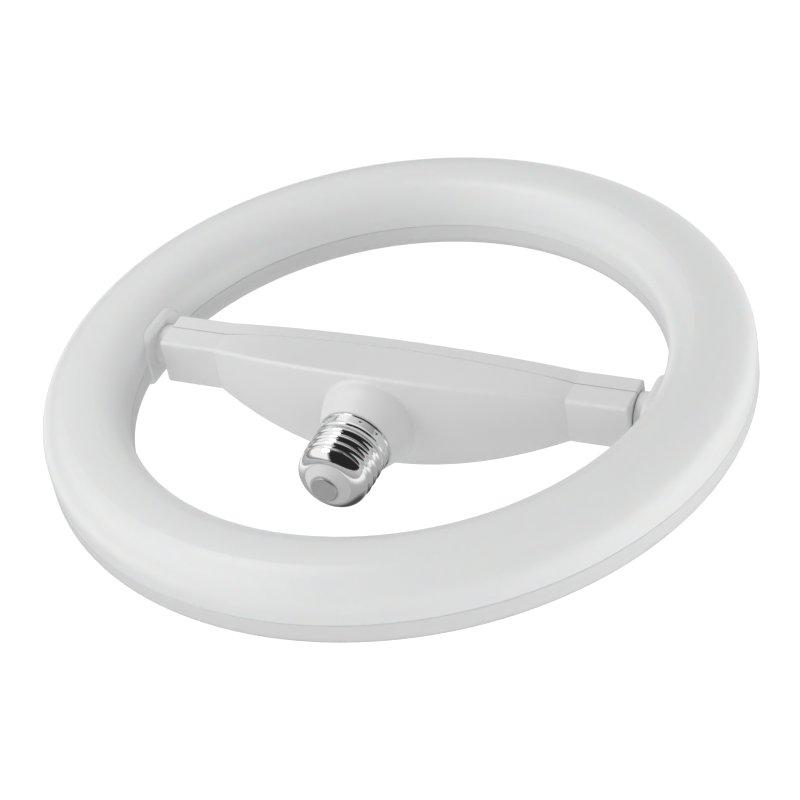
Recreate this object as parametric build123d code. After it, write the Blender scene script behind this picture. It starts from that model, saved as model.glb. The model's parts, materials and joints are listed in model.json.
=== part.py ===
from build123d import *
import os
from math import asin, atan2, cos, degrees, radians, sin, sqrt

# Ring lamp with a screw cap: a round tube of light hinged on a cross bar that carries the cap.
# The origin is the centre of the cap's rim. The cap points along -Y, the bar and its hinge lie
# along X, and the ring lies flat with its diffuser upwards, as the lamp does when it is folded.
# The model is drawn about the middle of the hinge axis and moved to the cap's rim at the end.

# Ring
ring_outer_diameter = 250.0
tube_width = 30.2
diffuser_straight_height = 4.7
diffuser_dome_height = 12.5
diffuser_crown_radius = 26.0
diffuser_wall = 1.5
base_depth = 9.7
base_corner_radius = 4.7
base_wall = 1.6
seam_chamfer = 0.3
lip_height = 1.8
lip_wall = 1.2
lip_clearance = 0.1

# Light boards in the ring
board_count = 4
light_board_width = 21.0
light_board_thickness = 1.2
light_board_top = -2.4
board_gap = 1.6
rail_wall = 1.4
rail_offset = 7.5
chip_length = 3.5
chip_width = 2.8
chip_height = 0.8
chip_row_offset = 5.0
chips_per_row = 14
link_width = 2.0
link_thickness = 0.4
link_overlap = 3.0

# Cross bar
bar_to_ring = 5.6
middle_half_length = 66.9
bar_half_height = 8.9
bar_front_depth = 9.9
bar_back_depth = 7.6
belly_depth = 14.1
belly_flare = 10.0
back_flare = 2.5
face_crown = 1.0
housing_wall = 1.8
front_edge_radius = 1.3
back_edge_radius = 1.3
parting_chamfer = 0.25
end_edge_radius = 0.9
end_wall = 3.5

# Neck and screw cap
hinge_to_rim = 36.8
neck_root_radius = 16.8
neck_foot_height = 1.5
neck_shoulder_radius = 16.4
neck_shoulder_rise = 2.8
neck_rim_radius = 13.4
neck_wall = 2.2
neck_fillet_room = 0.3
cap_radius = 13.05
cap_wall = 0.5
cap_fit = 0.1
cap_straight_length = 17.2
cap_shell_length = 22.0
cap_mouth_radius = 8.3
spigot_length = 6.0
spigot_wall = 2.0
insulator_height = 2.6
insulator_top_radius = 5.5
insulator_plug_depth = 2.4
insulator_fit = 0.15
contact_radius = 4.8
contact_height = 0.9
contact_stem_radius = 1.0
contact_stem_length = 5.0

# Hinge
pin_radius = 3.0
pin_bore_radius = 1.9
pin_running_fit = 0.06
pin_inner_reach = 6.8
pin_lug_reach = 4.4
pin_flange_radius = 4.4
pin_flange_height = 1.0
groove_depth = 0.5
groove_to_end = 0.9
clip_thickness = 0.7
clip_radius = 4.3
clip_mouth = 4.0
washer_radius = 4.5
washer_gap = 0.15
lug_gap = 0.4
lug_boss_radius = 7.6
lug_boss_length = 3.8
lug_pad_half_width = 14.0
lug_pad_top = 10.8
lug_pad_top_round = 8.4
lug_pad_bottom_round = 3.0
lug_pad_edge_radius = 2.0
lug_pad_depth = 9.0
lug_bottom_step = 0.1
lug_stub_radius = 5.4
lug_fit = 0.12
anchor_half_width = 9.0
anchor_depth = 8.4
anchor_top = 3.2

# Fasteners
screw_shank_radius = 1.2
screw_head_radius = 2.2
screw_head_height = 1.4
screw_fit = 0.06
boss_wall = 1.3
housing_screw_x = 57.0
housing_screw_z = 4.9
housing_screw_length = 9.0
head_recess = 1.9
lug_screw_y = 6.0
lug_screw_length = 5.0

# Driver board and its parts
driver_half_length = 40.0
driver_thickness = 1.6
driver_side_gap = 0.4
stake_x = 35.0
stake_inset = 3.0
stake_post_radius = 1.9
stake_radius = 1.0
stake_head_radius = 1.7
stake_head_height = 0.7
part_gap = 0.05
core_length = 16.0
core_height = 13.0
core_depth = 5.0
core_leg = 3.6
core_x = -19.0
coil_wall = 2.6
mains_capacitor_radius = 4.0
mains_capacitor_length = 12.0
mains_capacitor_x = 24.0
mains_capacitor_z = 4.6
output_capacitor_radius = 4.0
output_capacitor_length = 11.0
output_capacitor_x = -33.0
rectifier_size = (6.8, 2.6, 4.8)
rectifier_x = 10.0
rectifier_z = -5.6
chip_size = (5.0, 1.7, 4.0)
driver_chip_x = 18.0
driver_chip_z = -5.4
fuse_radius = 1.6
fuse_length = 8.0
fuse_x = 9.0
fuse_z = 5.2
fuse_lead_radius = 0.4
terminal_size = (5.0, 4.4, 6.0)
terminal_x = 34.0

# Leads
lead_radius = 1.2
cap_lead_radius = 0.7
lead_joint_gap = 0.4
lead_elbow_share = 0.45
ring_terminal_length = 5.0
ring_terminal_width = 4.6
ring_terminal_offset = 1.3
line_lead_x = 3.0
neutral_lead_x = -4.0
neutral_bend_reach = 24.0

# Sizes that follow from the ones above
ring_radius = (ring_outer_diameter - tube_width) / 2
tube_half = tube_width / 2
ring_inner_radius = ring_radius - tube_half
bar_half_length = ring_inner_radius - bar_to_ring
slope_steps = 4
cap_spigot_radius = cap_radius - cap_wall - cap_fit
spigot_bore_radius = cap_spigot_radius - spigot_wall
bearing_face = bar_half_length - end_wall
boss_face = bar_half_length + lug_gap
pad_face = boss_face + lug_boss_length
driver_front = -driver_thickness / 2


def bulge(x):
    """One at the middle of the bar, nothing at the creases, on a parabola."""
    return max(0.0, 1.0 - (x / middle_half_length) ** 2)


def front_reach(x):
    return bar_front_depth + belly_depth * bulge(x)


def side_height(x, y):
    """Half the bar's height at y: a straight flank from the back edge to the front edge."""
    back = bar_half_height + back_flare * bulge(x)
    front = bar_half_height + belly_flare * bulge(x)
    return back + (front - back) * (bar_back_depth - y) / (bar_back_depth + front_reach(x))


def closed_face(*lines):
    return make_face([edge for line in lines for edge in line.edges()])


def front_section(x, inset=0.0, groove=0.0):
    """Outline of the front shell at x: open flanks, crowned face, seam edge at the hinge plane."""
    reach = front_reach(x) - inset
    top = side_height(x, 0) - inset
    corner = side_height(x, -reach) - inset
    crown = face_crown * bulge(x) + 0.05
    flank = Polyline((0, -top + groove), (-groove, -top), (-reach, -corner)) if groove else (
        Line((0, -top), (-reach, -corner)))
    face = ThreePointArc((-reach, -corner), (-reach - crown, 0), (-reach, corner))
    other = Polyline((-reach, corner), (-groove, top), (0, top - groove)) if groove else (
        Line((-reach, corner), (0, top)))
    return closed_face(flank, face, other, Line((0, top - groove), (0, -top + groove)))


def back_section(x, inset=0.0, groove=0.0):
    """Outline of the back shell at x, from the hinge plane to the flat back."""
    top = side_height(x, 0) - inset
    reach = bar_back_depth - inset
    corner = side_height(x, reach) - inset
    points = [(0, -top + groove), (groove, -top), (reach, -corner)]
    points += [(reach, corner), (groove, top), (0, top - groove)]
    if not groove:
        points = [(0, -top), (reach, -corner), (reach, corner), (0, top)]
    return make_face(Polyline(*points, close=True).edges())


def rounded(face, radius, far_side):
    """Round the two corners of a section that lie furthest along far_side."""
    ends = face.vertices().sort_by(Axis.X)
    corners = ends[-2:] if far_side > 0 else ends[:2]
    return fillet(corners, radius)


def shell_body(section, radius, far_side, groove):
    """The outside of one shell: the lofted middle and the two straight blocks."""
    count = 2 * slope_steps
    stations = [middle_half_length * (2 * i / count - 1) for i in range(count + 1)]
    faces = [Plane.YZ.offset(x) * rounded(section(x, 0.0, groove), radius, far_side) for x in stations]
    body = loft(faces)
    block = rounded(section(middle_half_length, 0.0, groove), radius, far_side)
    length = bar_half_length - middle_half_length
    for side in (-1, 1):
        start = min(side * middle_half_length, side * bar_half_length)
        body += extrude(Plane.YZ.offset(start) * block, length)
    return rounded_ends(body)


def rounded_ends(body):
    """Round the two end faces, except along the parting plane."""
    ends = body.faces().sort_by(Axis.X)
    edges = ends[0].edges() + ends[-1].edges()
    outer = [edge for edge in edges if abs(edge.center().Y) > parting_chamfer + 0.01]
    return fillet(outer, end_edge_radius)


def shell_cavity(section):
    """The hollow of one shell, which leaves the end walls that carry the pins."""
    count = 2 * slope_steps
    stations = [middle_half_length * (2 * i / count - 1) for i in range(count + 1)]
    body = loft([Plane.YZ.offset(x) * section(x, housing_wall) for x in stations])
    length = bearing_face - middle_half_length
    for side in (-1, 1):
        start = min(side * middle_half_length, side * bearing_face)
        body += extrude(Plane.YZ.offset(start) * section(middle_half_length, housing_wall), length)
    return body


def along_x(radius, start, end, y=0.0, z=0.0):
    """A round bar parallel to X between two x values."""
    low, high = min(start, end), max(start, end)
    return extrude(Plane.YZ.offset(low) * Pos(y, z) * Circle(radius), high - low)


def along_y(radius, start, end, x=0.0, z=0.0):
    """A round bar parallel to Y between two y values."""
    low, high = min(start, end), max(start, end)
    plane = Plane(origin=(x, low, z), x_dir=(1, 0, 0), z_dir=(0, 1, 0))
    return extrude(plane * Circle(radius), high - low)


def cap_turned(*lines):
    """Turn an outline drawn as (radius, distance from the hinge axis) about the cap's axis."""
    plane = Plane(origin=(0, 0, 0), x_dir=(1, 0, 0), z_dir=(0, 0, -1))
    return revolve(plane * closed_face(*lines), Axis((0, 0, 0), (0, -1, 0)))


def ring_turned(*lines):
    """Turn an outline drawn as (offset from the tube's middle, height) about the ring's axis."""
    return revolve(Plane.XZ * Pos(ring_radius, 0) * closed_face(*lines), Axis.Z)


def block(size, x, y, z):
    """A box centred on x and z whose back face lies at y and which stands towards the cap."""
    return Pos(x, y - size[1] / 2, z) * Box(*size)


def mirrored(piece):
    return mirror(piece, Plane.YZ)


# Ring outline


def dome_lines(inset):
    """Over the tube from one foot to the other: straight wall, shoulder arc, crown arc."""
    half = tube_half - inset
    height = diffuser_dome_height - inset
    crown = diffuser_crown_radius - inset
    shoulder = (2 * height * crown - half ** 2 - height ** 2) / (2 * (crown - half))
    centre = half - shoulder
    turn = atan2(crown - height, centre)
    lift = diffuser_straight_height
    meet = (centre + shoulder * cos(turn), lift + shoulder * sin(turn))
    middle = (centre + shoulder * cos(turn / 2), lift + shoulder * sin(turn / 2))
    return half, [
        ThreePointArc((half, lift), middle, meet),
        ThreePointArc(meet, (0, lift + height), (-meet[0], meet[1])),
        ThreePointArc((-meet[0], meet[1]), (-middle[0], middle[1]), (-half, lift)),
    ]


def base_lines(inset):
    """Under the tube from one side to the other, with rounded lower corners."""
    half = tube_half - inset
    floor = base_depth - inset
    corner = base_corner_radius - inset
    bend = corner * (1 - cos(radians(45)))
    left_mid = (-half + bend, -floor + bend)
    right_mid = (half - bend, -floor + bend)
    return half, [
        ThreePointArc((-half, -floor + corner), left_mid, (-half + corner, -floor)),
        Line((-half + corner, -floor), (half - corner, -floor)),
        ThreePointArc((half - corner, -floor), right_mid, (half, -floor + corner)),
    ], -floor + corner


def tube_envelope():
    """The ring as one full solid, which the hinge lugs are cut to."""
    half, dome = dome_lines(0.0)
    under_half, under, under_top = base_lines(0.0)
    sides = [
        Line((-half, diffuser_straight_height), (-under_half, under_top)),
        Line((under_half, under_top), (half, diffuser_straight_height)),
    ]
    return ring_turned(*dome, *sides, *under)


def make_diffuser():
    """Milky tube top: an arched shell whose foot stands on the base at the seam."""
    outer_half, outer = dome_lines(0.0)
    inner_half, inner = dome_lines(diffuser_wall)
    lift = diffuser_straight_height
    feet = []
    for side in (-1, 1):
        feet.append(Polyline(
            (side * outer_half, lift),
            (side * outer_half, seam_chamfer),
            (side * (outer_half - seam_chamfer), 0),
            (side * inner_half, 0),
            (side * inner_half, lift),
        ))
    shell = ring_turned(*outer, *inner, *feet)
    for side in (-1, 1):
        shell -= stub_notch(side, 1)
    return shell


def make_base():
    """Opaque channel under the diffuser, with a locating lip and two board rails."""
    outer_half, outer, outer_top = base_lines(0.0)
    inner_half, inner, inner_top = base_lines(base_wall)
    lip_outer = tube_half - diffuser_wall - lip_clearance
    lip_inner = lip_outer - lip_wall
    ledge = -lip_height
    walls = []
    for side in (-1, 1):
        walls.append(Polyline(
            (side * outer_half, outer_top),
            (side * outer_half, -seam_chamfer),
            (side * (outer_half - seam_chamfer), 0),
            (side * lip_outer, 0),
            (side * lip_outer, lip_height),
            (side * lip_inner, lip_height),
            (side * lip_inner, ledge),
            (side * inner_half, ledge - (inner_half - lip_inner)),
            (side * inner_half, inner_top),
        ))
    shell = ring_turned(*outer, *inner, *walls)
    rail_top = light_board_top - light_board_thickness
    rail_foot = -base_depth + base_wall / 2
    for offset in (-rail_offset, rail_offset):
        low, high = offset - rail_wall / 2, offset + rail_wall / 2
        corners = [(low, rail_foot), (high, rail_foot), (high, rail_top), (low, rail_top)]
        shell += ring_turned(Polyline(*corners, close=True))
    for side in (-1, 1):
        shell -= anchor_room(side)
        shell -= stub_notch(side, -1)
        for y in (-lug_screw_y, lug_screw_y):
            shell -= lug_screw_hole(side, y)
    return shell


# Hinge lugs and what fixes them in the ring


def anchor_span():
    """The x values between which a lug's anchor fills the inside of the tube."""
    start = ring_inner_radius + base_wall + lug_fit
    return start, start + anchor_depth


def anchor_box(grow):
    start, end = anchor_span()
    low = -base_depth + base_wall - grow
    high = anchor_top + grow
    width = 2 * (anchor_half_width + grow)
    return Pos((start + end) / 2, 0, (low + high) / 2) * Box(end - start + 2 * grow, width, high - low)


def on_side(piece, side):
    return piece if side > 0 else mirrored(piece)


def stub_notch(side, up):
    """Half-round notch in a wall of the tube, open to the seam, for the lug's stub."""
    start = ring_inner_radius - lug_fit
    end = anchor_span()[0] + lug_fit
    radius = lug_stub_radius + lug_fit
    notch = along_x(radius, start - lug_pad_depth / 2, end)
    keep = Pos((start + end) / 2, 0, up * radius) * Box(2 * lug_pad_depth, 4 * radius, 2 * radius)
    return on_side(notch & keep, side)


def anchor_room(side):
    """The base's lip and rails stop at the anchor, which stands on the floor."""
    start, end = anchor_span()
    floor = -base_depth + base_wall
    room = 2 * anchor_half_width + 2 * lug_fit
    height = anchor_top - floor + lug_fit
    length = end - start + 2 * base_wall
    box = Pos(end + lug_fit - length / 2, 0, floor + height / 2) * Box(length, room, height)
    return on_side(box & tube_envelope_inner(), side)


def tube_envelope_inner():
    """The space inside the base's walls and under the diffuser's skirt."""
    half = tube_half - base_wall
    floor = -base_depth + base_wall
    corners = [(-half, floor), (half, floor), (half, lip_height + 1), (-half, lip_height + 1)]
    return ring_turned(Polyline(*corners, close=True))


def lug_screw_x():
    start, end = anchor_span()
    return end - boss_wall - screw_shank_radius


def lug_screw_hole(side, y):
    length = base_wall + 2
    hole = Pos(lug_screw_x(), y, -base_depth + base_wall / 2) * Cylinder(
        screw_shank_radius + screw_fit, length)
    recess = Pos(lug_screw_x(), y, -base_depth) * Cylinder(
        screw_head_radius + screw_fit, 2 * (base_wall / 2))
    return on_side(hole + recess, side)


def pad_outline():
    """The pad seen along the hinge: a flat foot with small rounds, a top with large ones."""
    flat = -base_depth + lug_bottom_step
    wide = lug_pad_half_width
    low, high = lug_pad_bottom_round, lug_pad_top_round
    corners = [
        CenterArc((wide - low, flat + low), low, -90, 90),
        CenterArc((wide - high, lug_pad_top - high), high, 0, 90),
        CenterArc((high - wide, lug_pad_top - high), high, 90, 90),
        CenterArc((low - wide, flat + low), low, 180, 90),
    ]
    sides = [Line(start @ 1, end @ 0) for start, end in zip(corners, corners[1:] + corners[:1])]
    return closed_face(*corners, *sides)


def make_lug(side):
    """Round pad and boss on the tube's inner wall, with a stub and an anchor inside the tube."""
    body = extrude(Plane.YZ.offset(pad_face) * pad_outline(), lug_pad_depth)
    body = fillet(body.faces().sort_by(Axis.X)[0].edges(), lug_pad_edge_radius)
    body += along_x(lug_boss_radius, boss_face, pad_face + lug_pad_depth / 2)
    body -= tube_envelope()
    start, end = anchor_span()
    stub = along_x(lug_stub_radius, ring_inner_radius - lug_fit, start + lug_fit)
    body += stub
    body += anchor_box(0.0) & tube_envelope_inner()
    pin_end = pad_face + pin_lug_reach
    body -= along_x(pin_radius, boss_face - lug_fit, pin_end)
    body -= along_x(pin_flange_radius, pin_end - pin_flange_height, pin_end)
    body -= along_x(pin_bore_radius, pin_end - lug_fit, end + lug_fit)
    for y in (-lug_screw_y, lug_screw_y):
        depth = lug_screw_length - base_wall / 2
        body -= Pos(lug_screw_x(), y, -base_depth + base_wall + depth / 2) * Cylinder(
            screw_shank_radius + screw_fit, depth)
    return on_side(body, side)


def make_pin(side):
    """Hollow hinge pin: flange held in the lug, plain running length, groove for the clip."""
    start = bearing_face - pin_inner_reach + end_wall
    end = pad_face + pin_lug_reach
    body = along_x(pin_radius, start, end)
    body += along_x(pin_flange_radius, end - pin_flange_height, end)
    ring = along_x(pin_radius, start + groove_to_end, start + groove_to_end + clip_thickness)
    body -= ring - along_x(pin_radius - groove_depth, start, end)
    body -= along_x(pin_bore_radius, start, end)
    return on_side(body, side)


def clip_start():
    return bearing_face - pin_inner_reach + end_wall + groove_to_end


def make_clip(side):
    """Open retaining clip in the pin's groove."""
    start = clip_start()
    body = along_x(clip_radius, start, start + clip_thickness)
    body -= along_x(pin_radius - groove_depth, start, start + clip_thickness)
    body -= Pos(start, 0, -clip_radius) * Box(4 * clip_thickness, clip_mouth, 2 * clip_radius)
    return on_side(body, side)


def make_washer(side):
    """Friction washer between the clip and the bar's end wall."""
    start = clip_start() + clip_thickness
    body = along_x(washer_radius, start, bearing_face - washer_gap)
    body -= along_x(pin_radius, start, bearing_face)
    return on_side(body, side)


# Light boards


def arc_plate(inner, outer, low, high, start, end):
    """A flat piece of a ring between two radii, two heights and two angles in degrees."""
    def point(radius, angle):
        return (radius * cos(radians(angle)), radius * sin(radians(angle)))
    middle = (start + end) / 2
    outline = closed_face(
        ThreePointArc(point(outer, start), point(outer, middle), point(outer, end)),
        Line(point(outer, end), point(inner, end)),
        ThreePointArc(point(inner, end), point(inner, middle), point(inner, start)),
        Line(point(inner, start), point(outer, start)),
    )
    return extrude(Pos(0, 0, low) * outline, high - low)


def board_angles(index):
    """The boards stop short of the hinge anchors and of each other."""
    inner = ring_radius - light_board_width / 2
    anchor = degrees(asin((anchor_half_width + board_gap) / inner))
    plain = degrees(asin(board_gap / 2 / inner))
    step = 360 / board_count
    start, end = index * step, (index + 1) * step
    near = [min(abs(angle % 180), 180 - abs(angle % 180)) < 1 for angle in (start, end)]
    return start + (anchor if near[0] else plain), end - (anchor if near[1] else plain)


def make_board(index):
    start, end = board_angles(index)
    half = light_board_width / 2
    low = light_board_top - light_board_thickness
    return arc_plate(ring_radius - half, ring_radius + half, low, light_board_top, start, end)


def make_chips(index):
    start, end = board_angles(index)
    pitch = (end - start) / chips_per_row
    chips = Part()
    for row in (-chip_row_offset, chip_row_offset):
        for i in range(chips_per_row):
            turn = Rot(0, 0, start + pitch * (i + 0.5))
            chip = Box(chip_width, chip_length, chip_height)
            chips += turn * Pos(ring_radius + row, 0, light_board_top + chip_height / 2) * chip
    return chips


def make_links():
    """Flat bridges that carry current from each board to the next, clear of the anchors."""
    links = Part()
    radius = ring_radius + light_board_width / 2 - link_width
    for index in range(board_count):
        end = board_angles(index)[1]
        start = board_angles((index + 1) % board_count)[0]
        if start < end:
            start += 360
        reach = degrees(link_overlap / radius)
        low = light_board_top
        links += arc_plate(
            radius - link_width / 2, radius + link_width / 2, low, low + link_thickness,
            end - reach, start + reach)
    return links


# Bar and cap


def neck_root_reach():
    return front_reach(0) + neck_foot_height


def make_neck():
    """Round neck that tapers from the bar's face to the cap, with the spigot that the cap grips."""
    foot = front_reach(neck_root_radius) - housing_wall
    root = (neck_root_radius, neck_root_reach())
    shoulder = (neck_shoulder_radius, neck_root_reach() + neck_shoulder_rise)
    end = hinge_to_rim + spigot_length
    return cap_turned(
        Line((neck_root_radius, foot), root),
        TangentArc(root, shoulder, tangent=(0, 1)),
        Polyline(shoulder, (neck_rim_radius, hinge_to_rim), (cap_spigot_radius, hinge_to_rim)),
        Polyline((cap_spigot_radius, hinge_to_rim), (cap_spigot_radius, end), (0, end)),
        Polyline((0, end), (0, foot), (neck_root_radius, foot)),
    )


def make_neck_bore():
    wide = neck_root_radius - neck_wall
    foot = front_reach(neck_root_radius) - housing_wall - 1
    return cap_turned(Polyline(
        (0, foot),
        (wide, foot),
        (spigot_bore_radius, hinge_to_rim - neck_wall),
        (spigot_bore_radius, hinge_to_rim + spigot_length),
        (0, hinge_to_rim + spigot_length),
        close=True,
    ))


def screw_places():
    across = (-housing_screw_x, housing_screw_x)
    return [(x, z) for x in across for z in (-housing_screw_z, housing_screw_z)]


def stake_z():
    return driver_half_height() - stake_inset


def driver_half_height():
    return side_height(driver_half_length, 0) - housing_wall - driver_side_gap


def stake_places():
    return [(x, z) for x in (-stake_x, stake_x) for z in (-stake_z(), stake_z())]


def pin_bores():
    radius = pin_radius + pin_running_fit
    left = along_x(radius, -bar_half_length, -bearing_face)
    return left + along_x(radius, bearing_face, bar_half_length)


def make_housing_front():
    """Front shell: crowned boat-shaped middle, straight end blocks, neck and screw pillars."""
    outside = shell_body(front_section, front_edge_radius, -1, parting_chamfer)
    pillars = Part()
    for x, z in screw_places():
        pillars += along_y(screw_shank_radius + boss_wall, 0, -front_reach(x), x, z)
    pillars = pillars & outside
    neck = make_neck()
    body = outside + neck
    body = fillet(body.edges().filter_by(is_neck_root), neck_foot_height - neck_fillet_room)
    body -= shell_cavity(front_section)
    body -= make_neck_bore()
    body += pillars
    for x, z in screw_places():
        depth = housing_screw_length
        body -= along_y(screw_shank_radius + screw_fit, 0, -depth, x, z)
    return body - pin_bores()


def is_neck_root(edge):
    """The edges where the neck's straight foot leaves the bar's face."""
    points = [edge.position_at(t) for t in (0.0, 0.25, 0.5, 0.75, 1.0)]
    on_foot = [abs(sqrt(p.X ** 2 + p.Z ** 2) - neck_root_radius) < 0.02 for p in points]
    below_shoulder = min(p.Y for p in points) > -neck_root_reach() + 0.1
    return all(on_foot) and below_shoulder and max(p.Y for p in points) < 0


def make_housing_back():
    """Back shell: flat cover with board posts, screw pillars and recesses for the heads."""
    body = shell_body(back_section, back_edge_radius, 1, parting_chamfer)
    body -= shell_cavity(back_section)
    inner = bar_back_depth - housing_wall / 2
    for x, z in screw_places():
        body += along_y(screw_head_radius + boss_wall, 0, inner, x, z)
        body -= along_y(screw_shank_radius + screw_fit, 0, bar_back_depth, x, z)
        body -= along_y(screw_head_radius + screw_fit, bar_back_depth - head_recess, bar_back_depth, x, z)
    for x, z in stake_places():
        body += along_y(stake_post_radius, -driver_front, inner, x, z)
        body += along_y(stake_radius, driver_front, -driver_front, x, z)
        body += along_y(stake_head_radius, driver_front, driver_front - stake_head_height, x, z)
    return body - pin_bores()


def make_screw(length):
    """Pan-head screw along +Z: its head's seat is at the origin and the shank points down."""
    shank = Pos(0, 0, -length / 2) * Cylinder(screw_shank_radius, length)
    head = Pos(0, 0, screw_head_height / 2) * Cylinder(screw_head_radius, screw_head_height)
    slot = Pos(0, 0, screw_head_height) * Box(screw_head_radius * 1.2, 0.5, screw_head_height)
    cross = slot + Rot(0, 0, 90) * slot
    top = head.edges().sort_by(Axis.Z)[-1]
    return shank + fillet(top, screw_head_height * 0.4) - cross


def make_housing_screws():
    seat = bar_back_depth - head_recess
    screws = Part()
    for x, z in screw_places():
        screws += Pos(x, seat, z) * Rot(-90, 0, 0) * make_screw(seat + housing_screw_length - 1)
    return screws


def make_lug_screws():
    screws = Part()
    for side in (-1, 1):
        for y in (-lug_screw_y, lug_screw_y):
            seat = -base_depth + base_wall / 2
            place = Pos(side * lug_screw_x(), y, seat)
            screws += place * Rot(180, 0, 0) * make_lug_screw()
    return screws


def make_lug_screw():
    """Flat-head screw whose head lies flush in the floor of the base."""
    shank = Pos(0, 0, -lug_screw_length / 2) * Cylinder(screw_shank_radius, lug_screw_length)
    head = Pos(0, 0, base_wall / 4) * Cylinder(screw_head_radius, base_wall / 2)
    return shank + head


def shell_outline(inset):
    """Side of the cap's shell: straight wall, then a rounded shoulder to the mouth."""
    radius = cap_radius - inset
    corner = (radius, hinge_to_rim + cap_straight_length)
    mouth = (cap_mouth_radius, hinge_to_rim + cap_shell_length - inset)
    return radius, corner, mouth, TangentArc(corner, mouth, tangent=(0, 1))


def make_screw_shell():
    radius, corner, mouth, shoulder = shell_outline(0.0)
    inner, inner_corner, inner_mouth, inner_shoulder = shell_outline(cap_wall)
    return cap_turned(
        Line((inner, hinge_to_rim), (radius, hinge_to_rim)),
        Line((radius, hinge_to_rim), corner),
        shoulder,
        Line(mouth, inner_mouth),
        inner_shoulder,
        Line(inner_corner, (inner, hinge_to_rim)),
    )


def make_insulator():
    mouth = hinge_to_rim + cap_shell_length
    plug = cap_mouth_radius - insulator_fit
    stem = contact_stem_radius + insulator_fit
    return cap_turned(Polyline(
        (stem, mouth - insulator_plug_depth),
        (plug, mouth - insulator_plug_depth),
        (plug, mouth),
        (cap_mouth_radius, mouth),
        (insulator_top_radius, mouth + insulator_height),
        (stem, mouth + insulator_height),
        close=True,
    ))


def make_contact():
    seat = hinge_to_rim + cap_shell_length + insulator_height
    body = along_y(contact_radius, -seat, -seat - contact_height)
    rim = body.edges().sort_by(Axis.Y)[0]
    body = fillet(rim, contact_height * 0.45)
    return body + along_y(contact_stem_radius, -seat, -seat + contact_stem_length)


# Driver


def make_driver_board():
    half = driver_half_height()
    board = Box(2 * driver_half_length, driver_thickness, 2 * half)
    for x, z in stake_places():
        board -= along_y(stake_radius + part_gap, driver_front, -driver_front, x, z)
    return board


def make_transformer_core():
    """Ferrite frame with a middle leg, standing on the board."""
    window = (core_length - 3 * core_leg) / 2
    y = driver_front - part_gap
    core = block((core_length, core_height, core_depth), core_x, y, 0)
    opening = (window, core_height - 2 * core_leg, core_depth)
    for side in (-1, 1):
        x = core_x + side * (core_leg + window) / 2
        core -= block(opening, x, y - core_leg, 0)
    return core


def make_transformer_coil():
    """Wound bobbin on the middle leg, round in plan where it stands out of the frame."""
    height = core_height - 2 * core_leg - 2 * part_gap
    y = driver_front - core_leg - 2 * part_gap
    width = core_leg + 2 * coil_wall - 2 * part_gap
    depth = core_depth + 2 * coil_wall
    coil = block((width, height, depth), core_x, y, 0)
    coil = fillet(coil.edges().filter_by(Axis.Y), coil_wall * 0.8)
    leg = (core_leg + 2 * part_gap, height, core_depth + 2 * part_gap)
    return coil - block(leg, core_x, y, 0)


def make_capacitor(radius, length):
    """Round can along +X from the origin, with its crimped neck and rounded closed end."""
    can = along_x(radius, 0, length)
    can = fillet(can.edges().sort_by(Axis.X)[-1], radius * 0.2)
    neck = along_x(radius, radius * 0.45, radius * 0.6)
    return can - (neck - along_x(radius * 0.9, 0, length))


def make_mains_capacitor():
    y = driver_front - part_gap - mains_capacitor_radius
    can = make_capacitor(mains_capacitor_radius, mains_capacitor_length)
    return Pos(mains_capacitor_x - mains_capacitor_length / 2, y, mains_capacitor_z) * can


def make_output_capacitor():
    can = make_capacitor(output_capacitor_radius, output_capacitor_length)
    return Pos(output_capacitor_x, driver_front - part_gap, 0) * Rot(0, 0, -90) * can


def make_fuse():
    """Fusible resistor: waisted round body lying on the board between its bent leads."""
    y = driver_front - part_gap - fuse_radius
    body = along_x(fuse_radius, fuse_x - fuse_length / 2, fuse_x + fuse_length / 2, y, fuse_z)
    body = fillet(body.edges().filter_by(GeomType.CIRCLE), fuse_radius * 0.35)
    for side in (-1, 1):
        foot = fuse_x + side * (fuse_length / 2 + 1.5)
        body += along_x(fuse_lead_radius, fuse_x + side * (fuse_length / 2 - 0.5), foot, y, fuse_z)
        body += along_y(fuse_lead_radius, driver_front, y, foot, fuse_z)
    return body


def tube(points, radii, radius, closing=None):
    """Sweep a round lead along straight runs joined by tangent arcs."""
    path = FilletPolyline(*points, radius=radii) if radii else Polyline(*points)
    start = Plane(origin=path @ 0, z_dir=path % 0)
    return sweep(start * Circle(radius), path=path)


def elbow_radius(before, after, turn):
    """The largest easy bend: a share of the shorter run over the tangent of half the turn."""
    return lead_elbow_share * min(before, after) / ((1 - cos(turn)) / sin(turn))


def bend_radii(points):
    radii = []
    for a, b, c in zip(points, points[1:], points[2:]):
        first, second = Vector(*b) - Vector(*a), Vector(*c) - Vector(*b)
        turn = radians(first.get_angle(second))
        radii.append(elbow_radius(first.length, second.length, turn))
    return radii


def lead(name, points, radius):
    radii = bend_radii(points)
    print(name, "bend radii", [round(r, 1) for r in radii])
    return tube(points, radii, radius)


def terminal_middle():
    return driver_front - part_gap - terminal_size[1] / 2


def make_driver_lead():
    start = bearing_face - pin_inner_reach + end_wall - lead_joint_gap
    end = terminal_x + terminal_size[0] / 2
    third = (start - end) / 3
    y = terminal_middle()
    points = [(start, 0, 0), (start - third, 0, 0), (end + third, y, 0), (end, y, 0)]
    return lead("driver lead", points, lead_radius)


def ring_terminal_start():
    return anchor_half_width + board_gap + 2 * link_overlap


def make_ring_lead():
    """From the hinge pin's inner end, through pin and anchor, round to the first board."""
    start = bearing_face - pin_inner_reach + end_wall
    points = [(start, 0, 0), (ring_radius, 0, 0), (ring_radius, ring_terminal_start(), 0)]
    return lead("ring lead", points, lead_radius)


def make_ring_terminal():
    start = ring_terminal_start()
    height = lead_radius * 1.3 - light_board_top
    box = Box(ring_terminal_width, ring_terminal_length, height)
    x = ring_radius - ring_terminal_offset
    return Pos(x, start + ring_terminal_length / 2, light_board_top + height / 2) * box


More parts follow.
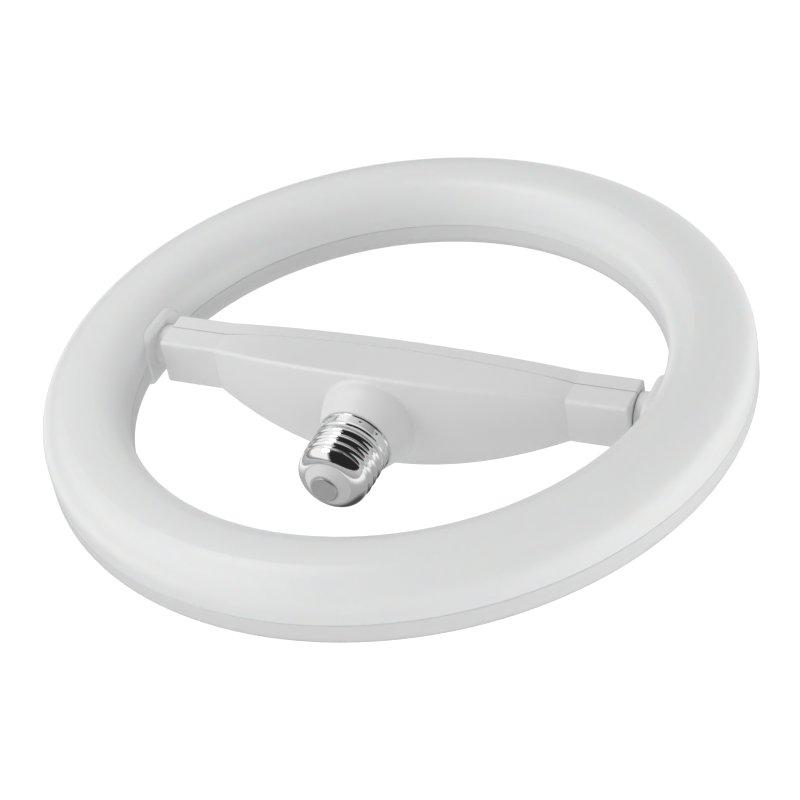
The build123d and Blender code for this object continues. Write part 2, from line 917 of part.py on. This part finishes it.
def make_line_lead():
    end = hinge_to_rim + cap_shell_length + insulator_height - contact_stem_length
    points = [
        (line_lead_x, driver_front, 0),
        (line_lead_x, -neck_root_reach() + cap_lead_radius, 0),
        (0, -hinge_to_rim - spigot_length / 2, 0),
        (0, -end, 0),
    ]
    return lead("line lead", points, cap_lead_radius)


def make_neutral_lead():
    """Runs down the neck and ends against the inside of the cap's shell."""
    wall = cap_radius - cap_wall - cap_lead_radius - part_gap
    past = hinge_to_rim + spigot_length
    inside = spigot_bore_radius - 2 * cap_lead_radius - part_gap
    points = [
        (neutral_lead_x, driver_front, 0),
        (neutral_lead_x, -neutral_bend_reach, 0),
        (-inside, -past + spigot_length / 3, 0),
        (-wall, -past - spigot_length, 0),
    ]
    return lead("neutral lead", points, cap_lead_radius)


def make_rectifier():
    return block(rectifier_size, rectifier_x, driver_front - part_gap, rectifier_z)


def make_driver_chip():
    return block(chip_size, driver_chip_x, driver_front - part_gap, driver_chip_z)


def make_terminal():
    return block(terminal_size, terminal_x, driver_front - part_gap, 0)


pieces = {
    "housing_front": make_housing_front(),
    "housing_back": make_housing_back(),
    "housing_screws": make_housing_screws(),
    "screw_shell": make_screw_shell(),
    "cap_insulator": make_insulator(),
    "centre_contact": make_contact(),
    "line_lead": make_line_lead(),
    "neutral_lead": make_neutral_lead(),
    "driver_board": make_driver_board(),
    "fuse_resistor": make_fuse(),
    "bridge_rectifier": make_rectifier(),
    "mains_capacitor": make_mains_capacitor(),
    "transformer_core": make_transformer_core(),
    "transformer_coil": make_transformer_coil(),
    "driver_chip": make_driver_chip(),
    "output_capacitor": make_output_capacitor(),
    "output_terminal": make_terminal(),
    "driver_lead": make_driver_lead(),
    "ring_base": make_base(),
    "ring_diffuser": make_diffuser(),
    "ring_terminal": make_ring_terminal(),
    "ring_lead": make_ring_lead(),
    "board_links": make_links(),
    "lug_screws": make_lug_screws(),
}
for name, side in (("left", -1), ("right", 1)):
    pieces["hinge_lug_" + name] = make_lug(side)
    pieces["pivot_pin_" + name] = make_pin(side)
    pieces["retaining_clip_" + name] = make_clip(side)
    pieces["friction_washer_" + name] = make_washer(side)
for index in range(board_count):
    pieces["led_board_" + str(index + 1)] = make_board(index)
    pieces["led_chips_" + str(index + 1)] = make_chips(index)

os.makedirs("parts", exist_ok=True)
for name, piece in pieces.items():
    export_step(Pos(0, hinge_to_rim, 0) * piece, "parts/" + name + ".step")
print(len(pieces), "pieces written")
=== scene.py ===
import json
from math import atan2, cos, pi, radians, sin, tau

import bmesh
import bpy
import numpy as np
from mathutils import Matrix, Vector


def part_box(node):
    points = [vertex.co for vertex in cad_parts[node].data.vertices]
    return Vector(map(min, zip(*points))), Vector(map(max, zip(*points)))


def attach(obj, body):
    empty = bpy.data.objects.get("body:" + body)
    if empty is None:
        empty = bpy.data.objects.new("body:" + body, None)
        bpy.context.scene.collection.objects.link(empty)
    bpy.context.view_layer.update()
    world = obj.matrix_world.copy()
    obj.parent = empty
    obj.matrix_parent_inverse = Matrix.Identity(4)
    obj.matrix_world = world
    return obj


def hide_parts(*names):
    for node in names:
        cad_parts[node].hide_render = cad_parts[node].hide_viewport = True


# Foldable ring lamp: milky ring of light, hinged on a pale cross bar with a bright screw cap.
# The cap points along -Y with its rim at the origin, and the hinge lies along X. Lengths are in metres,
# apart from the shell's and the screws' dictionaries, which are in millimetres. Angles are in radians.

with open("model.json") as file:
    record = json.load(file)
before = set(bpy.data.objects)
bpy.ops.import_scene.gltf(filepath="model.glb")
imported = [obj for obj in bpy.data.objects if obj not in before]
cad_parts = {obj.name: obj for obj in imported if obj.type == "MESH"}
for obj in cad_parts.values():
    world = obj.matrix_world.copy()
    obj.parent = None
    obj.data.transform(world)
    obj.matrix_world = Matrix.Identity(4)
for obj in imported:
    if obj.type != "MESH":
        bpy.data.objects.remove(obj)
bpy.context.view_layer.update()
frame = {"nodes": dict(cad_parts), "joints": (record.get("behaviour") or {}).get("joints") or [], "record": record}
nodes = frame["nodes"]
mm = 0.001
hingeY = frame["joints"][0]["pos_m"][1]  # from the cap's rim back to the hinge axis
print("frame loaded, hinge at", hingeY)

# Shader helpers


def feed(tree, slot, value):
    # Links a flow to a socket, or sets a plain value on it
    if isinstance(value, Flow):
        tree.links.new(value.socket, slot)
    else:
        slot.default_value = value


class Flow:
    # One output socket. Plus, minus and times, with numbers or other flows, and abs add a Math node each.

    def __init__(self, tree, socket):
        self.tree = tree
        self.socket = socket

    def combine(self, operation, *values):
        node = self.tree.nodes.new("ShaderNodeMath")
        node.operation = operation
        for slot, value in zip(node.inputs, values):
            feed(self.tree, slot, value)
        return Flow(self.tree, node.outputs[0])

    def __add__(self, other):
        return self.combine("ADD", self, other)

    def __radd__(self, other):
        return self.combine("ADD", other, self)

    def __sub__(self, other):
        return self.combine("SUBTRACT", self, other)

    def __rsub__(self, other):
        return self.combine("SUBTRACT", other, self)

    def __mul__(self, other):
        return self.combine("MULTIPLY", self, other)

    def __rmul__(self, other):
        return self.combine("MULTIPLY", other, self)

    def __abs__(self):
        return self.combine("ABSOLUTE", self)


class Network:
    # A node tree being built. place is the coordinates that its patterns lie on.

    def __init__(self, owner, coordinates):
        owner.use_nodes = True
        self.tree = owner.node_tree
        self.tree.nodes.clear()
        self.place = self.node("ShaderNodeTexCoord", output=coordinates)

    def node(self, kind, settings=None, output=0, **sockets):
        # Adds any node: its settings first, then values or links on its sockets. A socket goes by its
        # name, with _ for a space, or by n and its number where several share a name.
        made = self.tree.nodes.new(kind)
        for key, value in (settings or {}).items():
            if key == "stops":
                self.setStops(made.color_ramp, value)
            else:
                setattr(made, key, value)
        for key, value in sockets.items():
            which = int(key[1:]) if key[1:].isdigit() else key.replace("_", " ")
            feed(self.tree, made.inputs[which], value)
        return Flow(self.tree, made.outputs[output]) if len(made.outputs) else None

    def setStops(self, ramp, stops):
        # Each stop is a place from 0 to 1 and a grey level
        while len(ramp.elements) < len(stops):
            ramp.elements.new(0.5)
        for element, (position, level) in zip(ramp.elements, stops):
            element.position = position
            element.color = (level, level, level, 1)

    def toward(self, direction):
        # How far the coordinates reach along a direction: their dot product
        return self.node("ShaderNodeVectorMath", {"operation": "DOT_PRODUCT"}, output="Value",
                         n0=self.place, n1=direction)

    def step(self, value, low, high, course="SMOOTHSTEP"):
        # Rise from 0 at low to 1 at high, smooth or LINEAR
        return self.node("ShaderNodeMapRange", {"interpolation_type": course},
                         Value=value, From_Min=low, From_Max=high)


class Finish(Network):
    # A material with its patterns on the object's own coordinates

    def __init__(self, name):
        self.material = bpy.data.materials.new(name)
        super().__init__(self.material, "Object")

    def noise(self, scale, detail):
        return self.node("ShaderNodeTexNoise", output="Fac", Vector=self.place, Scale=scale, Detail=detail)

    def tint(self, factor, first, second):
        # From the first colour at 0 to the second at 1
        a, b = (colour if isinstance(colour, Flow) else (*colour, 1) for colour in (first, second))
        return self.node("ShaderNodeMix", {"data_type": "RGBA"}, output="Result", Factor=factor, A=a, B=b)

    def surface(self, grain, depth, **sockets):
        # Principled surface, with the grain as a bump of that depth
        bump = self.node("ShaderNodeBump", Height=grain, Distance=depth)
        shader = self.node("ShaderNodeBsdfPrincipled", Normal=bump, **sockets)
        self.node("ShaderNodeOutputMaterial", Surface=shader)
        return self.material


def shade(colour, factor):
    return tuple(c * factor for c in colour)


# Plastics, inner parts and metals: a slight unevenness in colour and gloss, and a fine grain.
# broad and grain are noise scales, depth is that of the grain, uneven is a share of the colour.

plasticTexture = {
    "broad": 35.0, "broadDetail": 2.0, "grainDetail": 1.0, "glossSwing": 0.06,
    "milkDepth": 0.002, "grooveEdge": 0.6,
}
metalTexture = {"broad": 60.0, "broadDetail": 3.0, "grainDetail": 2.0, "glossSwing": 0.08}
plastics = {
    "housing_plastic": {
        "colour": (0.83, 0.83, 0.835), "rough": 0.38, "uneven": 0.015, "grain": 2600, "depth": 4e-6,
        # groove: painted shade in the parting line, where the colour falls to the given share of the plastic's own
        "groove": {"halfWidth": 0.00028, "grooveShade": 0.6, "middle": 0.4, "blocks": (0.055, 0.068)}},
    "lug_plastic": {
        "colour": (0.83, 0.83, 0.835), "rough": 0.36, "uneven": 0.015, "grain": 2600, "depth": 4e-6},
    "ring_plastic": {
        "colour": (0.74, 0.74, 0.745), "rough": 0.36, "uneven": 0.015, "grain": 2600, "depth": 4e-6},
    "diffuser_plastic": {
        "colour": (0.84, 0.84, 0.84), "rough": 0.3, "uneven": 0.01, "grain": 1800, "depth": 3e-6,
        "milky": 0.25},
    "insulator": {
        "colour": (0.76, 0.76, 0.76), "rough": 0.42, "uneven": 0.04, "grain": 1800, "depth": 1e-5},
    "washer_plastic": {
        "colour": (0.25, 0.25, 0.25), "rough": 0.5, "uneven": 0.05, "grain": 1500, "depth": 1e-5},
    "line_sleeve": {
        "colour": (0.3, 0.14, 0.06), "rough": 0.45, "uneven": 0.06, "grain": 1500, "depth": 1e-5},
    "neutral_sleeve": {
        "colour": (0.05, 0.18, 0.5), "rough": 0.45, "uneven": 0.06, "grain": 1500, "depth": 1e-5},
    "lead_sleeve": {
        "colour": (0.8, 0.8, 0.78), "rough": 0.45, "uneven": 0.04, "grain": 1500, "depth": 1e-5},
    "circuit_board": {
        "colour": (0.05, 0.24, 0.12), "rough": 0.4, "uneven": 0.15, "grain": 900, "depth": 1e-5},
    "resistor_body": {
        "colour": (0.15, 0.35, 0.3), "rough": 0.35, "uneven": 0.1, "grain": 900, "depth": 1e-5},
    "component_black": {
        "colour": (0.05, 0.05, 0.055), "rough": 0.5, "uneven": 0.15, "grain": 2500, "depth": 1e-5},
    "capacitor_sleeve": {
        "colour": (0.08, 0.09, 0.14), "rough": 0.28, "uneven": 0.1, "grain": 900, "depth": 5e-6},
    "ferrite": {
        "colour": (0.11, 0.11, 0.12), "rough": 0.6, "uneven": 0.2, "grain": 2500, "depth": 2e-5},
    "coil_tape": {
        "colour": (0.8, 0.62, 0.12), "rough": 0.3, "uneven": 0.1, "grain": 700, "depth": 1e-5},
    "terminal_plastic": {
        "colour": (0.85, 0.85, 0.82), "rough": 0.4, "uneven": 0.03, "grain": 1500, "depth": 5e-6},
    "light_board": {
        "colour": (0.85, 0.85, 0.85), "rough": 0.4, "uneven": 0.02, "grain": 1500, "depth": 5e-6},
    "led_phosphor": {
        "colour": (0.9, 0.78, 0.3), "rough": 0.35, "uneven": 0.1, "grain": 2500, "depth": 1e-5},
}
metals = {
    "cap_metal": {
        "colour": (0.86, 0.86, 0.86), "rough": 0.07, "uneven": 0.05, "grain": 500, "depth": 1e-5},
    "contact_metal": {
        "colour": (0.62, 0.62, 0.62), "rough": 0.42, "uneven": 0.1, "grain": 1600, "depth": 2e-5},
    "screw_steel": {
        "colour": (0.6, 0.6, 0.6), "rough": 0.3, "uneven": 0.1, "grain": 1200, "depth": 1e-5},
    "pin_steel": {
        "colour": (0.65, 0.65, 0.65), "rough": 0.25, "uneven": 0.1, "grain": 1200, "depth": 1e-5},
    "link_copper": {
        "colour": (0.75, 0.6, 0.35), "rough": 0.3, "uneven": 0.1, "grain": 1200, "depth": 1e-5},
}


def startFinish(name, colour, rough, uneven, texture):
    # One broad noise gives the colour, between two near shades, and the gloss, a little to each side of rough
    finish = Finish(name)
    broad = finish.noise(texture["broad"], texture["broadDetail"])
    tone = finish.tint(broad, shade(colour, 1 - uneven), shade(colour, 1 + uneven))
    return finish, tone, rough + texture["glossSwing"] * (broad - 0.5)


def partingLine(finish, groove):
    # Mask of the painted shade in the parting groove: 1 at the hinge plane and 0 past halfWidth from it, times a
    # share: middle, rising to 1 on the end blocks
    edge = plasticTexture["grooveEdge"] * groove["halfWidth"]
    line = 1 - finish.step(abs(finish.toward((0, 1, 0)) - hingeY), edge, groove["halfWidth"])
    onBlocks = finish.step(abs(finish.toward((1, 0, 0))), *groove["blocks"])
    return line * (groove["middle"] + (1 - groove["middle"]) * onBlocks)


def plastic(name, colour, rough, uneven, grain, depth, milky=0.0, groove=None):
    # Finely grained. milky is how much light enters it, and groove paints shade into the parting line's groove.
    finish, tone, gloss = startFinish(name, colour, rough, uneven, plasticTexture)
    if groove:
        # Painted shade along the parting groove, fainter in the middle than on the end blocks
        tone = finish.tint(partingLine(finish, groove), tone, shade(colour, groove["grooveShade"]))
    return finish.surface(
        finish.noise(grain, plasticTexture["grainDetail"]), depth, Base_Color=tone, Roughness=gloss,
        Subsurface_Weight=milky, Subsurface_Scale=plasticTexture["milkDepth"])


def metal(name, colour, rough, uneven, grain, depth):
    # Bright, with faint marks of handling
    finish, tone, gloss = startFinish(name, colour, rough, uneven, metalTexture)
    return finish.surface(
        finish.noise(grain, metalTexture["grainDetail"]), depth, Base_Color=tone, Roughness=gloss,
        Metallic=1.0)


materials = {name: plastic(name, **values) for name, values in plastics.items()}
materials.update({name: metal(name, **values) for name, values in metals.items()})
slotOf = {part["node"]: part["material_slot"] for part in frame["record"]["subparts"]}
ownFinish = {"hinge_lug_left": "lug_plastic", "hinge_lug_right": "lug_plastic"}
for name, node in nodes.items():
    node.data.materials.clear()
    node.data.materials.append(materials[ownFinish.get(name, slotOf[name])])
print("finishes on", len(nodes), "nodes")

# Surfaces

meshJoin = {"weldDistance": 1e-7, "crispAngle": radians(40)}


def gridFaces(rows, columns, first, wrapU, wrapV):
    # Four corner numbers per face of a grid whose vertices start at number first
    index = first + np.arange(rows * columns).reshape(rows, columns)
    if wrapU:
        index = np.vstack([index, index[:1]])
    if wrapV:
        index = np.hstack([index, index[:, :1]])
    return np.stack([index[:-1, :-1], index[1:, :-1], index[1:, 1:], index[:-1, 1:]], -1).reshape(-1, 4)


def weld(mesh):
    # Closes poles, and keeps edges crisp where faces meet at more than crispAngle
    work = bmesh.new()
    work.from_mesh(mesh)
    bmesh.ops.remove_doubles(work, verts=work.verts, dist=meshJoin["weldDistance"])
    work.to_mesh(mesh)
    work.free()
    mesh.set_sharp_from_angle(angle=meshJoin["crispAngle"])


def gridPiece(name, grids, body, slot, wrapU, wrapV):
    # grids is a list of (rows, columns, 3) arrays. wrapU joins the last row to the first, wrapV the columns.
    starts = np.cumsum([0] + [grid.shape[0] * grid.shape[1] for grid in grids])
    corners = np.concatenate([
        gridFaces(*grid.shape[:2], start, wrapU, wrapV) for grid, start in zip(grids, starts)])
    points = np.concatenate([grid.reshape(-1, 3) for grid in grids])
    mesh = bpy.data.meshes.new(name)
    mesh.vertices.add(len(points))
    mesh.vertices.foreach_set("co", points.reshape(-1).astype(np.float32))
    mesh.loops.add(corners.size)
    mesh.loops.foreach_set("vertex_index", corners.reshape(-1).astype(np.int32))
    mesh.polygons.add(len(corners))
    mesh.polygons.foreach_set("loop_start", np.arange(0, corners.size, 4, dtype=np.int32))
    mesh.polygons.foreach_set("use_smooth", np.ones(len(corners), bool))
    mesh.update(calc_edges=True)
    weld(mesh)
    piece = bpy.data.objects.new(name, mesh)
    bpy.context.scene.collection.objects.link(piece)
    mesh.materials.append(materials[slot])
    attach(piece, body)
    return piece


def smoothStep(x, low, high):
    # 3 t squared less 2 t cubed, where t goes from 0 at low to 1 at high
    t = np.clip((x - low) / (high - low), 0, 1)
    return t * t * (3 - 2 * t)


# Screw cap shell, in millimetres, with distances from its rim. The thread rises between before and after
# its start and fades over threadFade at its end. Its crest draws in from crestDraw before its end to the end
# of the straight side. A lipFullness under 1 makes the lip fuller.

capShell = {
    "lipRadius": 13.03, "lipHeight": 0.8, "lipFullness": 0.7, "bandRadius": 12.72, "wall": 0.4,
    "crestRadius": 12.98, "threadDepth": 1.05, "pitch": 3.629,
    "threadStart": 4.6, "before": 1.0, "after": 0.9, "threadEnd": 18.6, "threadFade": 2.2, "crestDraw": 4,
    "straight": 17.2, "length": 22.0, "mouthRadius": 8.3, "lastRadius": 12.6,
    "dents": 12, "dentAngle": radians(6.5), "dentPlace": 2.3, "dentSize": 0.33, "dentDepth": 0.3,
    "straightRows": 230, "domeRows": 36, "insideRows": 30, "columns": 300,
}


def threadDrop(c, y, angle):
    # How far the surface lies below the crest. The phase is distance / pitch - angle / turn, from -0.5 to
    # 0.5 with the root at 0. Root and crest are circular arcs that meet halfway down. An arc's radius, bow,
    # is a quarter pitch / sine of its opening, and its sag is bow - root of (bow squared - reach squared).
    opening = 2 * atan2(c["threadDepth"], c["pitch"] / 2)
    bow = c["pitch"] / 4 / sin(opening)
    phase = np.abs(np.mod(y / c["pitch"] - angle / tau, 1) - 0.5)
    inRoot = phase < 0.25
    reach = np.where(inRoot, phase, 0.5 - phase) * c["pitch"]
    sag = bow - np.sqrt(bow ** 2 - reach ** 2)
    return np.where(inRoot, c["threadDepth"] - sag, sag)


def dentDrop(c, y, angle):
    # Round hollows at even steps of angle: dentDepth times a bell curve of how far the nearest centre is
    step = tau / c["dents"]
    aside = (np.mod(angle - c["dentAngle"] + step / 2, step) - step / 2) * c["bandRadius"]
    away = (aside ** 2 + (y - c["dentPlace"]) ** 2) / c["dentSize"] ** 2
    return c["dentDepth"] * np.exp(-away)


def capShellPoints(c):
    # Radius over the distance from the rim and the angle. The lip is a half sine wave to the power
    # lipFullness on the plain band. The thread fades in and out by smooth steps, and the shoulder is an arc
    # that starts along the axis and ends at the mouth. The inside is a plain wall that runs back to the rim.
    rise = c["length"] - c["straight"]
    turn = 2 * atan2(c["lastRadius"] - c["mouthRadius"], rise)
    bend = rise / sin(turn)
    bends = np.linspace(0, turn, c["domeRows"])
    straight = np.linspace(0, c["straight"], c["straightRows"], endpoint=False)
    along = np.concatenate([straight, c["straight"] + bend * np.sin(bends)])
    dome = c["lastRadius"] - bend * (1 - np.cos(bends))
    theta = np.linspace(0, tau, c["columns"], endpoint=False)
    y, angle = np.meshgrid(along, theta, indexing="ij")
    lip = np.sin(pi * np.clip(y / c["lipHeight"], 0, 1)) ** c["lipFullness"]
    band = c["bandRadius"] + (c["lipRadius"] - c["bandRadius"]) * lip
    fadeIn = smoothStep(y, c["threadStart"] - c["before"], c["threadStart"] + c["after"])
    fadeOut = 1 - smoothStep(y, c["threadEnd"] - c["threadFade"], c["threadEnd"])
    drawn = smoothStep(y, c["threadEnd"] - c["crestDraw"], c["straight"])
    crest = c["crestRadius"] + (c["lastRadius"] - c["crestRadius"]) * drawn
    radius = band * (1 - fadeIn) + (crest - threadDrop(c, y, angle) * fadeOut) * fadeIn
    radius[c["straightRows"]:] = np.minimum(radius[c["straightRows"]:], dome[:, None])
    radius -= dentDrop(c, y, angle)
    outer = np.stack([radius * np.cos(angle), -y, radius * np.sin(angle)], -1)
    root = np.full(c["straightRows"], c["crestRadius"] - c["threadDepth"])
    kept = np.linspace(len(along) - 1, 0, c["insideRows"]).astype(int)
    inside = (np.concatenate([root, dome]) - c["wall"])[kept, None]
    inner = np.stack([inside * np.cos(theta), -y[kept], inside * np.sin(theta)], -1)
    return np.concatenate([outer, inner]) * mm


shell = gridPiece("screwShell", [capShellPoints(capShell)], "cap_and_bar", "cap_metal", True, True)
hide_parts("screw_shell")
print("screw cap made")

# Screws in the floor of the ring, in millimetres: flat heads with a cross recess. edge is the bevel round
# the head, and slope and crossEnd say how gently the sides and the ends of a slot rise.

lugScrew = {
    "headRadius": 2.2, "headDepth": 0.8, "edge": 0.12, "shankRadius": 1.2,
    "crossLength": 1.15, "crossWidth": 0.32, "crossDepth": 0.6, "slope": 0.12, "crossEnd": 0.3,
    "rings": 48, "columns": 144,
}


def lugScrewPoints(c, x, y, low, high):
    # The face is a polar disc, sunk by a cross: the larger of two slots, each the product of a smooth step
    # across and a smooth step along. Then the sides of head and shank run up, and the end closes on the axis.
    theta = np.linspace(0, tau, c["columns"], endpoint=False)
    r, angle = np.meshgrid(np.linspace(0, c["headRadius"] - c["edge"], c["rings"]), theta, indexing="ij")
    u, v = np.abs(r * np.cos(angle)), np.abs(r * np.sin(angle))
    across = [1 - smoothStep(a, c["crossWidth"] - c["slope"], c["crossWidth"] + c["slope"]) for a in (u, v)]
    along = [1 - smoothStep(a, c["crossLength"] - c["crossEnd"], c["crossLength"]) for a in (v, u)]
    recess = c["crossDepth"] * np.maximum(across[0] * along[0], across[1] * along[1])
    length = high - low
    sideRadius = np.array([c["headRadius"], c["headRadius"], c["shankRadius"], c["shankRadius"], 0])
    sideRise = np.array([c["edge"], c["headDepth"], c["headDepth"], length, length])
    r = np.concatenate([r, sideRadius[:, None] + 0 * theta])
    rise = np.concatenate([recess, sideRise[:, None] + 0 * theta])
    return np.stack([x + r * np.cos(theta), y - r * np.sin(theta), low + rise], -1) * mm


def lugScrewGrids(c):
    # One screw at each corner of the node's own box, a head's radius in from its sides
    low, high = (np.array(corner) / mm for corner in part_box("lug_screws"))
    inset = c["headRadius"]
    return [lugScrewPoints(c, x, y, low[2], high[2])
            for x in (low[0] + inset, high[0] - inset) for y in (low[1] + inset, high[1] - inset)]


screws = gridPiece("lugScrews", lugScrewGrids(lugScrew), "ring", "screw_steel", False, True)
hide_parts("lug_screws")
print("ring screws made")

# Camera, where the ring's two edges in the photograph put it. offset is from the camera to the ring's
# middle, in ringRadius, and ringRise is how far that middle lies above the hinge. filmWidth is in mm.

photoCamera = {
    "elevation": 0.6469, "roll": -0.1883, "barTurn": radians(-30.1),
    "ringRadius": 0.1099, "offset": (-0.0027, -0.0816, 7.356), "ringRise": 0.0005,
    "focalPixels": 2312.0, "centrePixel": (398.5, 402.6), "imageSize": 800, "filmWidth": 36,
    "nearest": 0.01, "farthest": 20,
}


def spin(angle):
    return Matrix(((cos(angle), -sin(angle), 0), (sin(angle), cos(angle), 0), (0, 0, 1)))


def placeCamera(c):
    # The lamp's axes turn by barTurn about Z, tilt to the elevation and roll in the picture. The picture's
    # axes are right, down and away, and the camera's are right, up and back.
    level, height = cos(c["elevation"]), sin(c["elevation"])
    tilt = Matrix(((1, 0, 0), (0, -height, -level), (0, level, -height)))
    toWorld = (spin(c["roll"]) @ tilt @ spin(c["barTurn"])).transposed()
    middle = Vector((0, hingeY, c["ringRise"]))
    spot = middle - toWorld @ (Vector(c["offset"]) * c["ringRadius"])
    camera = bpy.data.objects.new("photoCamera", bpy.data.cameras.new("photoCamera"))
    bpy.context.scene.collection.objects.link(camera)
    axes = toWorld @ Matrix(((1, 0, 0), (0, -1, 0), (0, 0, -1)))
    camera.matrix_world = Matrix.Translation(spot) @ axes.to_4x4()
    size = c["imageSize"]
    camera.data.sensor_width = c["filmWidth"]
    camera.data.lens = c["focalPixels"] * c["filmWidth"] / size
    camera.data.shift_x = (size / 2 - c["centrePixel"][0]) / size
    camera.data.shift_y = (c["centrePixel"][1] - size / 2) / size
    camera.data.clip_start = c["nearest"]
    camera.data.clip_end = c["farthest"]
    bpy.context.scene.camera = camera
    return camera


camera = placeCamera(photoCamera)
print("camera placed")

# Studio: a pale floor well below the lamp, a pale room, and soft lamps above, left, right and in front.
# Pairs are the start and the end of a change. A lamp's right and forward are as the camera sees them.

studio = {
    "floorDrop": 0.32, "floorHalf": 3, "floorColour": (0.85, 0.85, 0.85),
    "floorGlow": (0.45, 0.63), "glowRise": (0.5, 2.0),
    "floorMirrored": ((0.1, 0.08), (0.22, 0.42), (0.5, 0.48), (0.85, 1.0)),  # distance from the middle, level: a painted shadow under the lamp, then painted grey and white
    "skyLevel": 0.42, "darkSide": 0.35, "darkEdge": (-0.4, -0.22), "darkRise": (-0.05, 0.12),
    "darkDepth": (0.1, 0.9), "darkLevel": 0.02, "leftRise": (0.2, 0.42), "leftLow": 0.3,
    "lamps": [
        {"name": "topLamp", "right": -0.5, "forward": 0.17, "up": 1.2,
         "size": (0.5, 0.5), "watts": 2.0, "mirrored": True},
        {"name": "leftLamp", "right": -0.97, "forward": 0.0, "up": 0.87,
         "size": (0.8, 0.8), "watts": 6.2, "mirrored": False},
        {"name": "rightLamp", "right": 1.3, "forward": 0.0, "up": 0.07,
         "size": (0.9, 0.3), "watts": 6.6, "mirrored": False},
        {"name": "frontLamp", "right": 0.0, "forward": -1.29, "up": 0.18,
         "size": (0.8, 0.8), "watts": 4.6, "mirrored": False},
    ],
}
viewRight = camera.matrix_world.to_3x3().col[0].normalized()
flatRight = Vector((viewRight.x, viewRight.y, 0)).normalized()
flatForward = Vector((-flatRight.y, flatRight.x, 0))
centre = Vector((0, hingeY, 0))
upward = (0, 0, 1)
white = (1, 1, 1, 1)


def softLamp(name, right, forward, up, size, watts, mirrored):
    # A soft lamp aimed at the middle of the ring
    light = bpy.data.lights.new(name, "AREA")
    light.shape = "RECTANGLE"
    light.energy = watts
    light.size, light.size_y = size
    lamp = bpy.data.objects.new(name, light)
    bpy.context.scene.collection.objects.link(lamp)
    lamp.location = centre + flatRight * right + flatForward * forward + Vector((0, 0, up))
    lamp.rotation_mode = "QUATERNION"
    lamp.rotation_quaternion = (centre - lamp.location).to_track_quat("-Z", "Y")
    lamp.visible_camera = False
    lamp.visible_glossy = mirrored


def floorPlane(s):
    # Flat square at one height. To the camera it also glows, more with the distance from its middle, so that
    # it reads white. Mirrored in metal it glows: a painted shadow dark under the lamp, painted grey around it,
    # white far off.
    side = np.linspace(-s["floorHalf"], s["floorHalf"], 2)
    x, y = np.meshgrid(side, side, indexing="ij")
    points = np.stack([x, y, np.zeros_like(x)], -1).reshape(-1, 3)
    mesh = bpy.data.meshes.new("floor")
    mesh.from_pydata(points.tolist(), [], gridFaces(2, 2, 0, False, False).tolist())
    sheet = bpy.data.objects.new("floor", mesh)
    bpy.context.scene.collection.objects.link(sheet)
    sheet.location.z = -s["floorDrop"]
    finish = Finish("palePaper")
    seen = finish.node("ShaderNodeLightPath", output="Is Camera Ray")
    glossy = finish.node("ShaderNodeLightPath", output="Is Glossy Ray")
    distance = finish.node("ShaderNodeVectorMath", {"operation": "LENGTH"}, output="Value", n0=finish.place)
    near, far = s["floorGlow"]
    level = near + (far - near) * finish.step(distance, *s["glowRise"])
    paper = finish.node("ShaderNodeBsdfDiffuse", Color=(*s["floorColour"], 1))
    glow = finish.node("ShaderNodeEmission", Color=white, Strength=level * seen)
    both = finish.node("ShaderNodeAddShader", n0=paper, n1=glow)
    # Painted shadow and painted grey of the floor, as metal mirrors it
    rings = finish.node("ShaderNodeValToRGB", {"stops": s["floorMirrored"]}, Fac=distance)
    mirrored = finish.node("ShaderNodeEmission", Color=rings, Strength=1.0)
    look = finish.node("ShaderNodeMixShader", n0=glossy, n1=both, n2=mirrored)
    finish.node("ShaderNodeOutputMaterial", Surface=look)
    mesh.materials.append(finish.material)


def paleRoom(s):
    # White to the camera and to light that passes through, skyLevel to dull surfaces. Mirrored, it is dark
    # where right - darkSide * forward passes darkEdge, height passes darkRise and forward is short of
    # darkDepth. The rest is white, and at the left it falls to leftLow below leftRise.
    world = bpy.data.worlds.new("studioWorld")
    bpy.context.scene.world = world
    room = Network(world, "Generated")
    seen = room.node("ShaderNodeLightPath", output="Is Camera Ray")
    glossy = room.node("ShaderNodeLightPath", output="Is Glossy Ray")
    through = room.node("ShaderNodeLightPath", output="Is Transmission Ray")
    height = room.toward(upward)
    aside = room.step(room.toward(flatRight - s["darkSide"] * flatForward), *s["darkEdge"])
    behind = room.step(room.toward(flatForward), *s["darkDepth"], "LINEAR")
    dark = aside * room.step(height, *s["darkRise"]) * (1 - behind)
    dusk = (1 - aside) * (1 - room.step(height, *s["leftRise"]))
    mirrored = glossy * (1 - dark * (1 - s["darkLevel"]) - dusk * (1 - s["leftLow"]))
    other = (1 - seen - glossy - through) * s["skyLevel"]
    sky = room.node("ShaderNodeBackground", Color=white, Strength=seen + through + mirrored + other)
    room.node("ShaderNodeOutputWorld", Surface=sky)


for values in studio["lamps"]:
    softLamp(**values)
floorPlane(studio)
paleRoom(studio)
bpy.context.scene.view_settings.view_transform = "Standard"
print("studio made")
